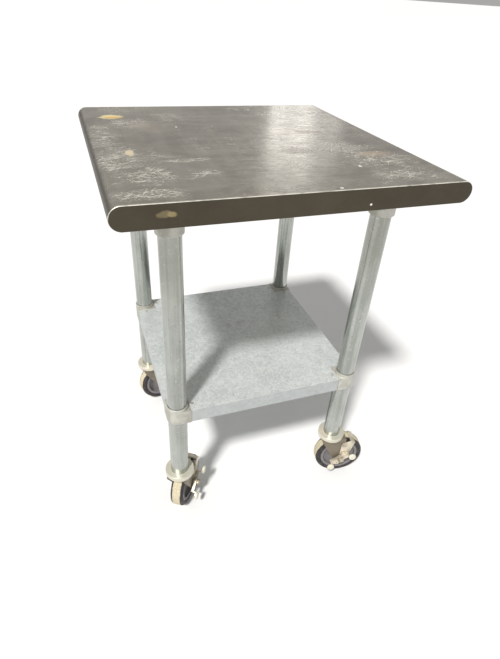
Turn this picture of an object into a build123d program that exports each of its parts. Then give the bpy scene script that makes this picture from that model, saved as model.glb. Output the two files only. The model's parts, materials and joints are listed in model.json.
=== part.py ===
from build123d import *
import os
from math import cos, radians, sin, sqrt

# Square work table: a folded worktop on four round legs, with an undershelf and four swivel casters.
# Millimetres, +Z up. The origin is on the floor, under the middle of the worktop.
# X runs between the two rolled edges of the worktop, Y between its two flat ends.
# Each function returns one sub-part, and main() writes one STEP file for each.

# ---------------------------------------------------------------- driving sizes: worktop
TOP_LENGTH = 609.6          # along X, over the rolled edges
TOP_WIDTH = 609.6           # along Y, over the flat ends
TABLE_HEIGHT = 838.2        # floor to worktop
TOP_DEPTH = 38.1            # height of the folded edge, and the diameter of the rolled one
TOP_SHEET = 1.5
TOP_LIP = 12.0              # return lip under the edge
TOP_BEND = 1.2              # outer radius of the fold at the flat ends

# ---------------------------------------------------------------- driving sizes: under the worktop
HAT_WEB = 84.0
HAT_DEPTH = 30.0
HAT_FLANGE = 15.0
HAT_SHEET = 1.5
HAT_END_GAP = 4.0           # from the worktop's return lip to the channel's end
STUD_DIAMETER = 6.35
STUD_LENGTH = 14.0
STUD_SPREAD = 400.0         # along Y, between the studs of one flange
STUD_HOLE_GAP = 0.3
STUD_NUT_ACROSS_FLATS = 11.1
STUD_NUT_HEIGHT = 5.5

# ---------------------------------------------------------------- driving sizes: legs and sockets
LEG_DIAMETER = 41.3
LEG_WALL = 1.5
LEG_INSET_X = 101.6         # worktop edge to leg centre
LEG_INSET_Y = 99.6
LEG_FIT = 0.15              # gap all round a leg, in its socket and in its corner casting
SOCKET_WALL = 4.2
SOCKET_DROP = 50.8          # how far a socket shows below the worktop
SOCKET_PLATE = 80.0
SOCKET_PLATE_THICKNESS = 3.2
SET_SCREW_DIAMETER = 7.9
SET_SCREW_LENGTH = 8.0
SET_SCREW_FIT = 0.1
SET_SCREW_KEY = 4.0
SET_SCREW_EDGE = 16.0       # from a socket's rim, or a casting's underside, to its screw

# ---------------------------------------------------------------- driving sizes: undershelf
SHELF_TOP = 349.5
SHELF_DEPTH = 33.5
SHELF_SHEET = 1.2
SHELF_LIP = 10.0
SHELF_PAST_LEG = 0.35       # leg's surface to the shelf's outer face
SHELF_BEND = 1.0
CORNER_WALL = 2.6           # casting outside the leg
CORNER_INSIDE = 5.35        # leg's surface to the casting's inner faces
CORNER_COLLAR_RISE = 7.5    # collar round the leg, above the shelf
CORNER_LEDGE = 14.0         # ledge under the shelf's sheet
CORNER_LEDGE_THICKNESS = 4.0
CORNER_GAP = 0.2            # casting to shelf
CORNER_FILLET = 1.2
RIVET_DIAMETER = 4.0
RIVET_HEAD_DIAMETER = 7.5
RIVET_HEAD_HEIGHT = 0.9

# ---------------------------------------------------------------- driving sizes: casters
SWIVEL_HEIGHT = 19.0        # top of the wheel to the foot of the leg
WHEEL_DIAMETER = 127.0
WHEEL_WIDTH = 31.75
TYRE_DEPTH = 13.0
TYRE_SHOULDER = 7.5
RIM_DEPTH = 7.5
RIM_STEP = 1.4              # the rim is this much inside the tyre's side
WEB_THICKNESS = 6.0
HUB_DIAMETER = 25.0
TRAIL = 30.5                # swivel axis to axle, level
FORK_GAP = 20.0             # half the space between the fork's legs
FORK_SHEET = 3.0
FORK_EYE = 18.0             # radius of the fork's foot round the axle
FORK_BEND = 2.4
FORK_FRONT = 26.0           # swivel axis to the crown's leading edge
FORK_BACK = 38.0            # swivel axis to the crown's trailing edge
HUB_END_GAP = 0.4
AXLE_DIAMETER = 9.53
AXLE_HOLE_GAP = 0.1
BUSH_DIAMETER = 16.0
RUNNING_FIT = 0.05          # radial
AXLE_NUT_ACROSS_FLATS = 14.3
AXLE_NUT_HEIGHT = 8.0
AXLE_HEAD_HEIGHT = 6.0
AXLE_TAIL = 2.0             # bolt past its nut

RACE_DIAMETER = 67.0
RACE_THICKNESS = 3.5
RACE_RIM_WALL = 2.0
RACE_RIM_GAP = 0.9          # race rim to fork crown, radial
RACE_RIM_CLEAR = 2.0        # race rim to the fork's plate
CROWN_THICKNESS = 3.5
CROWN_DISH = 5.6            # bearing seat, raised above the fork's plate
BALL_DIAMETER = 6.35
BALL_COUNT = 14
BALL_PITCH_RADIUS = 24.0
BALL_GAP = 0.05
RACE_GAP = 4.4              # between the two races, outside their grooves
STEM_DIAMETER = 12.7
STEM_LENGTH = 62.0
KINGPIN_DIAMETER = 12.0
KINGPIN_HEAD_DIAMETER = 20.0
KINGPIN_HEAD_HEIGHT = 4.0
KINGPIN_HEAD_GAP = 0.3
SLEEVE_FOOT = 4.0           # leg's foot to the expander sleeve
SLEEVE_LENGTH = 46.0
SLEEVE_FIT = 0.15
SLEEVE_NUT_ACROSS_FLATS = 19.0
SLEEVE_NUT_HEIGHT = 8.0

# ---------------------------------------------------------------- driving sizes: brakes
BRAKE_TILT = 33.0           # rocker, degrees above level, when locked
BRAKE_GAP = 0.4             # sideways, between one plate and the next
SHOE_SHEET = 2.0
SHOE_BRIDGE_THICKNESS = 2.5
SHOE_GAP = 0.4              # shoe to tread, when locked
SHOE_BEARING = 24.0         # degrees behind the top of the wheel
SHOE_FRONT = 7.0            # bridge length ahead of the point where it meets the tread
SHOE_REAR = 6.5
SHOE_SHORT = 3.0            # bridge short of the wheel's far side
SHOE_BEND = 1.8
SHOE_PIVOT_AHEAD = 4.5      # shoe rivet from the axle, level
SHOE_PIVOT_INSIDE = 14.0    # shoe rivet below the top of the wheel
SHOE_PIVOT_DIAMETER = 6.0
SHOE_PIVOT_HEAD = 11.0
SHOE_PIVOT_HEAD_HEIGHT = 1.2
SHOE_EYE = 8.0
SHOE_FOOT_ABOVE = 11.5      # shoe plate's lower edge above the axle
DRIVE_PIN_DIAMETER = 5.0
DRIVE_PIN_AHEAD = 6.5       # drive pin from the axle, level
DRIVE_PIN_ABOVE = 17.3
DRIVE_PIN_PLAY = 0.5
ROCKER_SHEET = 3.0
ROCKER_NUT_CLEAR = 0.6      # axle nut's corners to the lip
ROCKER_LIP_SHEET = 2.0
ROCKER_ARM_REACH = 27.0     # axle to the outside of the bent arm
ROCKER_ARM_WIDTH = 14.0
ROCKER_BOSS = 9.0
ROCKER_DISC = 12.5
ROCKER_LIP = 4.0
PAD_DIAMETER = 19.0
PAD_THICKNESS = 5.0
PAD_RADIUS = 32.5           # axle to pad centre
PAD_STANDOFF = 10.0         # rocker's face to the back of a pad

# ---------------------------------------------------------------- where the corners and casters are
# name: side along X, side along Y, caster bearing in degrees (the way the axle's brake end points), brake
CORNERS = {
    "front_left": (-1, -1, 326.0, True),
    "front_right": (1, -1, 258.0, True),
    "back_left": (-1, 1, 285.0, False),
    "back_right": (1, 1, 268.0, False),
}

# ---------------------------------------------------------------- worked-out sizes
TOP_BOTTOM = TABLE_HEIGHT - TOP_DEPTH
TOP_UNDERSIDE = TABLE_HEIGHT - TOP_SHEET
HAT_BOTTOM = TOP_UNDERSIDE - HAT_DEPTH
SOCKET_PLATE_BOTTOM = HAT_BOTTOM - SOCKET_PLATE_THICKNESS
SOCKET_BOTTOM = TOP_BOTTOM - SOCKET_DROP
LEG_X = TOP_LENGTH / 2 - LEG_INSET_X
LEG_Y = TOP_WIDTH / 2 - LEG_INSET_Y
LEG_RADIUS = LEG_DIAMETER / 2
CASTER_SEAT = WHEEL_DIAMETER + SWIVEL_HEIGHT
LEG_BORE = LEG_RADIUS + LEG_FIT
SOCKET_RADIUS = LEG_BORE + SOCKET_WALL
CORNER_RADIUS = LEG_BORE + CORNER_WALL
CORNER_WING = LEG_RADIUS + CORNER_INSIDE
SHELF_REACH = LEG_RADIUS + SHELF_PAST_LEG
SHELF_BOTTOM = SHELF_TOP - SHELF_DEPTH
SHELF_X = LEG_X + SHELF_REACH
SHELF_Y = LEG_Y + SHELF_REACH
RIVET_OFFSET = CORNER_WING + CORNER_LEDGE / 2
RACE_BOTTOM = CASTER_SEAT - RACE_THICKNESS
BALL_CENTRE = RACE_BOTTOM - RACE_GAP / 2
CROWN_TOP = RACE_BOTTOM - RACE_GAP
CROWN_BOTTOM = CROWN_TOP - CROWN_THICKNESS
PLATE_TOP = CROWN_TOP - CROWN_DISH
PLATE_BOTTOM = PLATE_TOP - CROWN_THICKNESS
CROWN_RADIUS = RACE_DIAMETER / 2 - RACE_RIM_WALL - RACE_RIM_GAP
CROWN_INSIDE = FORK_GAP
AXLE_Z = WHEEL_DIAMETER / 2
AXLE_RADIUS = AXLE_DIAMETER / 2
SHOE_PIVOT_ABOVE = WHEEL_DIAMETER / 2 - SHOE_PIVOT_INSIDE
FORK_OUT = FORK_GAP + FORK_SHEET
HUB_HALF = FORK_GAP - HUB_END_GAP
TYRE_BORE = WHEEL_DIAMETER / 2 - TYRE_DEPTH
STEM_TOP = CASTER_SEAT + STEM_LENGTH
SLEEVE_TOP = CASTER_SEAT + SLEEVE_FOOT + SLEEVE_LENGTH
SHOE_IN = FORK_OUT + BRAKE_GAP
SHOE_OUT = SHOE_IN + SHOE_SHEET
ROCKER_IN = SHOE_OUT + BRAKE_GAP
ROCKER_OUT = ROCKER_IN + ROCKER_SHEET
ROCKER_LIP_IN = AXLE_NUT_ACROSS_FLATS / sqrt(3) + ROCKER_NUT_CLEAR
ROCKER_HALF_WIDTH = ROCKER_LIP_IN + ROCKER_LIP_SHEET
PAD_BACK = ROCKER_OUT + PAD_STANDOFF


# ---------------------------------------------------------------- plain shapes
def block(x0, x1, y0, y1, z0, z1):
    """Box between two corners."""
    centre = Pos((x0 + x1) / 2, (y0 + y1) / 2, (z0 + z1) / 2)
    return centre * Box(abs(x1 - x0), abs(y1 - y0), abs(z1 - z0))


def post(radius, z0, z1, x=0.0, y=0.0):
    """Upright cylinder."""
    return Pos(x, y, (z0 + z1) / 2) * Cylinder(radius, z1 - z0)


def bar(radius, x0, x1, y=TRAIL, z=AXLE_Z):
    """Cylinder along X, on the axle's line unless told otherwise."""
    return Pos((x0 + x1) / 2, y, z) * Rot(0, 90, 0) * Cylinder(radius, x1 - x0)


def hexagon(across_flats, height):
    """Hexagonal prism standing on the origin."""
    return extrude(RegularPolygon(across_flats / 2, 6, major_radius=False), height)


def plate_across_x(outline, x0, x1):
    """Plate between two X positions, from an outline of (y, z) points."""
    points = [(x0, y, z) for y, z in outline]
    face = make_face(Polyline(*points, close=True))
    return extrude(face, x1 - x0, dir=(1, 0, 0))


def slot_slab(half_x, half_y, z0, z1):
    """Slab with half-round X edges and flat Y ends."""
    section = Plane.XZ * SlotOverall(2 * half_x, z1 - z0)
    return Pos(0, 0, (z0 + z1) / 2) * extrude(section, half_y, both=True)


def to_corner(shape, name):
    """Move a shape made with the table's middle towards +X and +Y to its corner of the table."""
    side_x, side_y, _, _ = CORNERS[name]
    if side_x > 0:
        shape = mirror(shape, about=Plane.YZ)
    if side_y > 0:
        shape = mirror(shape, about=Plane.XZ)
    return Pos(side_x * LEG_X, side_y * LEG_Y, 0) * shape


def to_caster(shape, name):
    """Swing a caster piece, made with its axle along X and its wheel towards +Y, to its bearing."""
    side_x, side_y, bearing, _ = CORNERS[name]
    return Pos(side_x * LEG_X, side_y * LEG_Y, 0) * Rot(0, 0, bearing) * shape


# ---------------------------------------------------------------- worktop and what is under it
def worktop():
    half_x = TOP_LENGTH / 2
    half_y = TOP_WIDTH / 2
    outer = slot_slab(half_x, half_y, TOP_BOTTOM, TABLE_HEIGHT)
    end_edges = outer.edges().filter_by(lambda edge: abs(abs(edge.center().Y) - half_y) < 0.01)
    outer = fillet(end_edges, TOP_BEND)
    inner = slot_slab(half_x - TOP_SHEET, half_y - TOP_SHEET, TOP_BOTTOM + TOP_SHEET, TOP_UNDERSIDE)
    mouth_x = half_x - TOP_DEPTH / 2 - TOP_LIP
    mouth_y = half_y - TOP_SHEET - TOP_LIP
    mouth = block(-mouth_x, mouth_x, -mouth_y, mouth_y, TOP_BOTTOM - 1, TOP_BOTTOM + TOP_SHEET + 1)
    return outer - inner - mouth


def stud_places():
    """(x, y) of every weld stud, two to a flange of each channel."""
    flange_middle = HAT_WEB / 2 + HAT_FLANGE / 2
    return [
        (side * LEG_X + flange * flange_middle, end * STUD_SPREAD / 2)
        for side in (-1, 1)
        for flange in (-1, 1)
        for end in (-1, 1)
    ]


def hat_channel(side):
    half_web = HAT_WEB / 2
    half_length = TOP_WIDTH / 2 - TOP_SHEET - TOP_LIP - HAT_END_GAP
    web_top = HAT_BOTTOM + HAT_SHEET
    channel = block(-half_web, half_web, -half_length, half_length, HAT_BOTTOM, web_top)
    for hand in (-1, 1):
        wall_in = hand * (half_web - HAT_SHEET)
        wall_out = hand * half_web
        flange_out = hand * (half_web + HAT_FLANGE)
        flange_bottom = TOP_UNDERSIDE - HAT_SHEET
        channel += block(wall_in, wall_out, -half_length, half_length, HAT_BOTTOM, TOP_UNDERSIDE)
        channel += block(wall_in, flange_out, -half_length, half_length, flange_bottom, TOP_UNDERSIDE)
    channel = Pos(side * LEG_X, 0, 0) * channel
    for x, y in stud_places():
        if x * side > 0:
            hole = STUD_DIAMETER / 2 + STUD_HOLE_GAP
            channel -= post(hole, TOP_UNDERSIDE - 2 * HAT_SHEET, TOP_UNDERSIDE + 1, x, y)
    return channel


def channel_studs():
    return [post(STUD_DIAMETER / 2, TOP_UNDERSIDE - STUD_LENGTH, TOP_UNDERSIDE, x, y) for x, y in stud_places()]


def channel_nuts():
    nut = hexagon(STUD_NUT_ACROSS_FLATS, STUD_NUT_HEIGHT)
    nut -= post(STUD_DIAMETER / 2, -1, STUD_NUT_HEIGHT + 1)
    foot = TOP_UNDERSIDE - HAT_SHEET - STUD_NUT_HEIGHT
    return [Pos(x, y, foot) * nut for x, y in stud_places()]


def leg_socket(name):
    half_plate = SOCKET_PLATE / 2
    plate = block(-half_plate, half_plate, -half_plate, half_plate, SOCKET_PLATE_BOTTOM, HAT_BOTTOM)
    plate = fillet(plate.edges().filter_by(Axis.Z), 6.0)
    socket = plate + post(SOCKET_RADIUS, SOCKET_BOTTOM, SOCKET_PLATE_BOTTOM)
    socket -= post(LEG_BORE, SOCKET_BOTTOM - 1, SOCKET_PLATE_BOTTOM)
    screw_z = SOCKET_BOTTOM + SET_SCREW_EDGE
    screw_hole = SET_SCREW_DIAMETER / 2 + SET_SCREW_FIT
    socket -= bar(screw_hole, 0, SOCKET_RADIUS + 1, 0, screw_z)
    rim = socket.edges().filter_by(lambda edge: abs(edge.center().Z - SOCKET_BOTTOM) < 0.01)
    socket = fillet(rim, 0.8)
    return to_corner(socket, name)


def leg(name):
    tube = post(LEG_RADIUS, CASTER_SEAT, SOCKET_PLATE_BOTTOM)
    tube -= post(LEG_RADIUS - LEG_WALL, CASTER_SEAT - 1, SOCKET_PLATE_BOTTOM + 1)
    return to_corner(tube, name)


def leg_set_screws():
    key = Pos(LEG_RADIUS + SET_SCREW_LENGTH, 0, 0) * Rot(0, -90, 0) * hexagon(SET_SCREW_KEY, SET_SCREW_KEY)
    screw = bar(SET_SCREW_DIAMETER / 2, LEG_RADIUS, LEG_RADIUS + SET_SCREW_LENGTH, 0, 0) - key
    heights = (SOCKET_BOTTOM + SET_SCREW_EDGE, SHELF_BOTTOM + SET_SCREW_EDGE)
    return [to_corner(Pos(0, 0, height) * screw, name) for name in CORNERS for height in heights]


# ---------------------------------------------------------------- undershelf and its corners
def corner_notch():
    """Space that a corner casting takes out of the undershelf."""
    out = CORNER_RADIUS + CORNER_GAP
    wing = CORNER_WING + CORNER_GAP
    return block(-out, wing, -out, wing, SHELF_BOTTOM - 1, SHELF_TOP + 1)


def rivet_places():
    """(x, y) of one corner's rivets from its leg, with the table's middle towards +X and +Y."""
    return ((RIVET_OFFSET, 0.0), (0.0, RIVET_OFFSET))


def undershelf():
    outer = block(-SHELF_X, SHELF_X, -SHELF_Y, SHELF_Y, SHELF_BOTTOM, SHELF_TOP)
    top_edges = outer.faces().sort_by(Axis.Z)[-1].edges()
    outer = fillet(top_edges, SHELF_BEND)
    in_x = SHELF_X - SHELF_SHEET
    in_y = SHELF_Y - SHELF_SHEET
    inner = block(-in_x, in_x, -in_y, in_y, SHELF_BOTTOM + SHELF_SHEET, SHELF_TOP - SHELF_SHEET)
    mouth_x = in_x - SHELF_LIP
    mouth_y = in_y - SHELF_LIP
    mouth = block(-mouth_x, mouth_x, -mouth_y, mouth_y, SHELF_BOTTOM - 1, SHELF_BOTTOM + SHELF_SHEET + 1)
    pan = outer - inner - mouth
    notch = corner_notch()
    for x, y in rivet_places():
        notch += post(RIVET_HEAD_DIAMETER / 2 + CORNER_GAP, SHELF_TOP - SHELF_SHEET - 1, SHELF_TOP + 1, x, y)
    for name in CORNERS:
        pan -= to_corner(notch, name)
    return pan


def shelf_corner(name):
    collar_top = SHELF_TOP + CORNER_COLLAR_RISE
    casting = post(CORNER_RADIUS, SHELF_BOTTOM, collar_top)
    casting += block(0, CORNER_WING, -CORNER_RADIUS, CORNER_WING, SHELF_BOTTOM, SHELF_TOP)
    casting += block(-CORNER_RADIUS, CORNER_WING, 0, CORNER_WING, SHELF_BOTTOM, SHELF_TOP)
    rounds = casting.edges().filter_by(lambda edge: abs(edge.center().Z - collar_top) < 0.01)
    casting = fillet(rounds, CORNER_FILLET)
    reach = CORNER_WING + CORNER_LEDGE
    ledge_top = SHELF_TOP - SHELF_SHEET
    ledge_bottom = ledge_top - CORNER_LEDGE_THICKNESS
    half_ledge = RIVET_HEAD_DIAMETER
    casting += block(0, reach, -half_ledge, half_ledge, ledge_bottom, ledge_top)
    casting += block(-half_ledge, half_ledge, 0, reach, ledge_bottom, ledge_top)
    casting -= post(LEG_BORE, SHELF_BOTTOM - 1, collar_top + 1)
    screw_hole = SET_SCREW_DIAMETER / 2 + SET_SCREW_FIT
    casting -= bar(screw_hole, 0, CORNER_WING + 1, 0, SHELF_BOTTOM + SET_SCREW_EDGE)
    for x, y in rivet_places():
        casting -= post(RIVET_DIAMETER / 2, ledge_bottom - 1, ledge_top + 1, x, y)
    return to_corner(casting, name)


def shelf_rivets():
    ledge_bottom = SHELF_TOP - SHELF_SHEET - CORNER_LEDGE_THICKNESS
    rivet = post(RIVET_DIAMETER / 2, ledge_bottom, SHELF_TOP)
    rivet += post(RIVET_HEAD_DIAMETER / 2, SHELF_TOP - SHELF_SHEET, SHELF_TOP)
    rivet += post(RIVET_HEAD_DIAMETER / 2, ledge_bottom - RIVET_HEAD_HEIGHT, ledge_bottom)
    return [to_corner(Pos(x, y, 0) * rivet, name) for name in CORNERS for x, y in rivet_places()]


# ---------------------------------------------------------------- caster: stem, sleeve and swivel bearing
def ball_track():
    """Ring that both races are grooved with."""
    return Pos(0, 0, BALL_CENTRE) * Torus(BALL_PITCH_RADIUS, BALL_DIAMETER / 2 + BALL_GAP)


def caster_stem(name):
    race_radius = RACE_DIAMETER / 2
    rim_bottom = PLATE_TOP + RACE_RIM_CLEAR
    race = post(race_radius, rim_bottom, CASTER_SEAT)
    race = fillet(race.faces().sort_by(Axis.Z)[-1].edges(), 1.5)
    race -= post(race_radius - RACE_RIM_WALL, rim_bottom - 1, RACE_BOTTOM)
    race -= ball_track()
    stem = post(STEM_DIAMETER / 2, RACE_BOTTOM, STEM_TOP)
    stem = chamfer(stem.faces().sort_by(Axis.Z)[-1].edges(), 1.0)
    head_top = CROWN_BOTTOM - KINGPIN_HEAD_GAP
    kingpin = post(KINGPIN_DIAMETER / 2, head_top, RACE_BOTTOM)
    head = post(KINGPIN_HEAD_DIAMETER / 2, head_top - KINGPIN_HEAD_HEIGHT, head_top)
    head = fillet(head.faces().sort_by(Axis.Z)[0].edges(), 1.5)
    return to_caster(race + stem + kingpin + head, name)


def expander_sleeves():
    bore = LEG_RADIUS - LEG_WALL - SLEEVE_FIT
    sleeve = post(bore, CASTER_SEAT + SLEEVE_FOOT, SLEEVE_TOP)
    sleeve -= post(STEM_DIAMETER / 2 + SLEEVE_FIT, CASTER_SEAT, SLEEVE_TOP + 1)
    return [to_caster(sleeve, name) for name in CORNERS]


def expander_nuts():
    nut = Pos(0, 0, SLEEVE_TOP) * hexagon(SLEEVE_NUT_ACROSS_FLATS, SLEEVE_NUT_HEIGHT)
    nut -= post(STEM_DIAMETER / 2, CASTER_SEAT, STEM_TOP)
    return [to_caster(nut, name) for name in CORNERS]


def swivel_balls():
    ball = Pos(BALL_PITCH_RADIUS, 0, BALL_CENTRE) * Sphere(BALL_DIAMETER / 2)
    return [
        to_caster(Rot(0, 0, step * 360 / BALL_COUNT) * ball, name)
        for name in CORNERS
        for step in range(BALL_COUNT)
    ]


# ---------------------------------------------------------------- caster: fork, axle and wheel
def fork_leg(inner_x, outer_x):
    """One stamped leg, tapering from the crown down to a round foot on the axle."""
    foot = bar(FORK_EYE, inner_x, outer_x)
    shoulder = PLATE_BOTTOM - CROWN_THICKNESS
    # the taper's sides touch the round foot: front side forward of the axle, back side behind it
    front_touch = (TRAIL - FORK_EYE * cos(radians(28)), AXLE_Z - FORK_EYE * sin(radians(28)))
    back_touch = (TRAIL + FORK_EYE, AXLE_Z)
    outline = [
        (-FORK_FRONT, PLATE_TOP),
        (-FORK_FRONT, shoulder),
        front_touch,
        (TRAIL, AXLE_Z),
        back_touch,
        (FORK_BACK, shoulder),
        (FORK_BACK, PLATE_TOP),
    ]
    return foot + plate_across_x(outline, inner_x, outer_x)


def caster_fork(name):
    braked = CORNERS[name][3]
    plate = block(-FORK_OUT, FORK_OUT, -FORK_FRONT, FORK_BACK, PLATE_BOTTOM, PLATE_TOP)
    fork = plate + fork_leg(FORK_GAP, FORK_OUT) + fork_leg(-FORK_OUT, -FORK_GAP)
    bends = fork.edges().filter_by(Axis.Y).filter_by(
        lambda edge: abs(abs(edge.center().X) - FORK_OUT) < 0.01 and abs(edge.center().Z - PLATE_TOP) < 0.01
    )
    fork = fillet(bends, FORK_BEND)
    fork += post(CROWN_RADIUS, PLATE_BOTTOM, CROWN_TOP)
    fork -= post(CROWN_INSIDE, PLATE_BOTTOM - 1, CROWN_BOTTOM)
    fork -= ball_track()
    fork -= post(KINGPIN_DIAMETER / 2 + RUNNING_FIT, CROWN_BOTTOM - 1, CROWN_TOP + 1)
    fork -= bar(AXLE_RADIUS + AXLE_HOLE_GAP, -FORK_OUT - 1, FORK_OUT + 1)
    if braked:
        fork -= pivot_bar(SHOE_PIVOT_DIAMETER / 2, FORK_GAP - 1, FORK_OUT + 1)
    return to_caster(fork, name)


def nut_seat(name):
    """X of the face that the axle nut stands on: past the brake rocker where there is one."""
    return ROCKER_OUT + BRAKE_GAP if CORNERS[name][3] else FORK_OUT


def axle_bolt(name):
    end = nut_seat(name) + AXLE_NUT_HEIGHT + AXLE_TAIL
    shank = bar(AXLE_RADIUS, -FORK_OUT, end)
    shank = chamfer(shank.faces().sort_by(Axis.X)[-1].edges(), 0.8)
    head = Pos(-FORK_OUT, TRAIL, AXLE_Z) * Rot(0, -90, 0) * hexagon(AXLE_NUT_ACROSS_FLATS, AXLE_HEAD_HEIGHT)
    return to_caster(shank + head, name)


def axle_nut(name):
    nut = Pos(nut_seat(name), TRAIL, AXLE_Z) * Rot(0, 90, 0) * hexagon(AXLE_NUT_ACROSS_FLATS, AXLE_NUT_HEIGHT)
    nut -= bar(AXLE_RADIUS, 0, nut_seat(name) + AXLE_NUT_HEIGHT + 1)
    return to_caster(nut, name)


def wheel_core(name):
    rim_half = WHEEL_WIDTH / 2 - RIM_STEP
    core = bar(TYRE_BORE, -rim_half, rim_half)
    core -= bar(TYRE_BORE - RIM_DEPTH, -rim_half - 1, rim_half + 1)
    rim_edges = core.edges().filter_by(GeomType.CIRCLE).sort_by(lambda edge: edge.radius)[:2]
    core = fillet(rim_edges, 1.5)
    core += bar(TYRE_BORE - RIM_DEPTH / 2, -WEB_THICKNESS / 2, WEB_THICKNESS / 2)
    core += bar(HUB_DIAMETER / 2, -HUB_HALF, HUB_HALF)
    core -= bar(BUSH_DIAMETER / 2, -HUB_HALF - 1, HUB_HALF + 1)
    return to_caster(core, name)


def wheel_tyre(name):
    half = WHEEL_WIDTH / 2
    tyre = bar(WHEEL_DIAMETER / 2, -half, half)
    shoulders = tyre.edges().filter_by(GeomType.CIRCLE)
    tyre = fillet(shoulders, TYRE_SHOULDER)
    tyre -= bar(TYRE_BORE, -half - 1, half + 1)
    return to_caster(tyre, name)


def axle_bush(name):
    bush = bar(BUSH_DIAMETER / 2, -HUB_HALF, HUB_HALF)
    bush -= bar(AXLE_RADIUS + RUNNING_FIT, -HUB_HALF - 1, HUB_HALF + 1)
    return to_caster(bush, name)


# ---------------------------------------------------------------- brake
def pivot_bar(radius, x0, x1):
    """Cylinder along X on the brake shoe's pivot."""
    return bar(radius, x0, x1, TRAIL + SHOE_PIVOT_AHEAD, AXLE_Z + SHOE_PIVOT_ABOVE)


def pin_bar(radius, x0, x1):
    """Cylinder along X on the rocker's drive pin."""
    return bar(radius, x0, x1, TRAIL + DRIVE_PIN_AHEAD, AXLE_Z + DRIVE_PIN_ABOVE)


def on_tread(along, out):
    """(y, z) of a point from where the shoe meets the tread: along the shoe, and out from the wheel."""
    bearing = radians(SHOE_BEARING)
    radius = WHEEL_DIAMETER / 2 + SHOE_GAP + out
    y = TRAIL + radius * sin(bearing) + along * cos(bearing)
    z = AXLE_Z + radius * cos(bearing) - along * sin(bearing)
    return y, z


def brake_shoe(name):
    thickness = SHOE_BRIDGE_THICKNESS
    bridge_outline = [
        on_tread(-SHOE_FRONT, 0),
        on_tread(-SHOE_FRONT, thickness),
        on_tread(SHOE_REAR, thickness),
        on_tread(SHOE_REAR, 0),
    ]
    bridge = plate_across_x(bridge_outline, SHOE_SHORT - WHEEL_WIDTH / 2, SHOE_OUT)
    pivot_y = TRAIL + SHOE_PIVOT_AHEAD
    pivot_z = AXLE_Z + SHOE_PIVOT_ABOVE
    foot_z = AXLE_Z + SHOE_FOOT_ABOVE
    side_outline = [
        (pivot_y - SHOE_EYE, pivot_z),
        (pivot_y - SHOE_EYE * 0.6, pivot_z + SHOE_EYE * 0.8),
        on_tread(-SHOE_FRONT, thickness),
        on_tread(SHOE_REAR, thickness),
        on_tread(SHOE_REAR, -thickness),
        (TRAIL + WHEEL_DIAMETER / 6, foot_z),
        (pivot_y - SHOE_EYE, foot_z),
    ]
    side = plate_across_x(side_outline, SHOE_IN, SHOE_OUT)
    shoe = bridge + side
    bend_y, bend_z = on_tread((SHOE_REAR - SHOE_FRONT) / 2, thickness)
    bend = shoe.edges().filter_by(lambda edge: (edge.center() - Vector(SHOE_OUT, bend_y, bend_z)).length < 0.1)
    shoe = fillet(bend, SHOE_BEND)
    shoe -= pivot_bar(SHOE_PIVOT_DIAMETER / 2 + RUNNING_FIT, SHOE_IN - 1, SHOE_OUT + 1)
    play = DRIVE_PIN_DIAMETER / 2 + DRIVE_PIN_PLAY
    pin_y = TRAIL + DRIVE_PIN_AHEAD
    pin_z = AXLE_Z + DRIVE_PIN_ABOVE
    shoe -= block(SHOE_IN - 1, SHOE_OUT + 1, pin_y - play, pin_y + play, foot_z - 1, pin_z)
    shoe -= pin_bar(play, SHOE_IN - 1, SHOE_OUT + 1)
    return to_caster(shoe, name)


def brake_pivot(name):
    radius = SHOE_PIVOT_DIAMETER / 2
    head = SHOE_PIVOT_HEAD / 2
    head_in = SHOE_OUT + BRAKE_GAP / 2
    rivet = pivot_bar(radius, FORK_GAP - SHOE_PIVOT_HEAD_HEIGHT, head_in)
    rivet += pivot_bar(head, FORK_GAP - SHOE_PIVOT_HEAD_HEIGHT, FORK_GAP)
    rivet += pivot_bar(head, head_in, head_in + SHOE_PIVOT_HEAD_HEIGHT)
    return to_caster(rivet, name)


def tilted(shape):
    """Turn a rocker piece, made with its bar level along Y, to the locked tilt about the axle."""
    return Pos(0, TRAIL, AXLE_Z) * Rot(BRAKE_TILT, 0, 0) * shape


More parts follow.
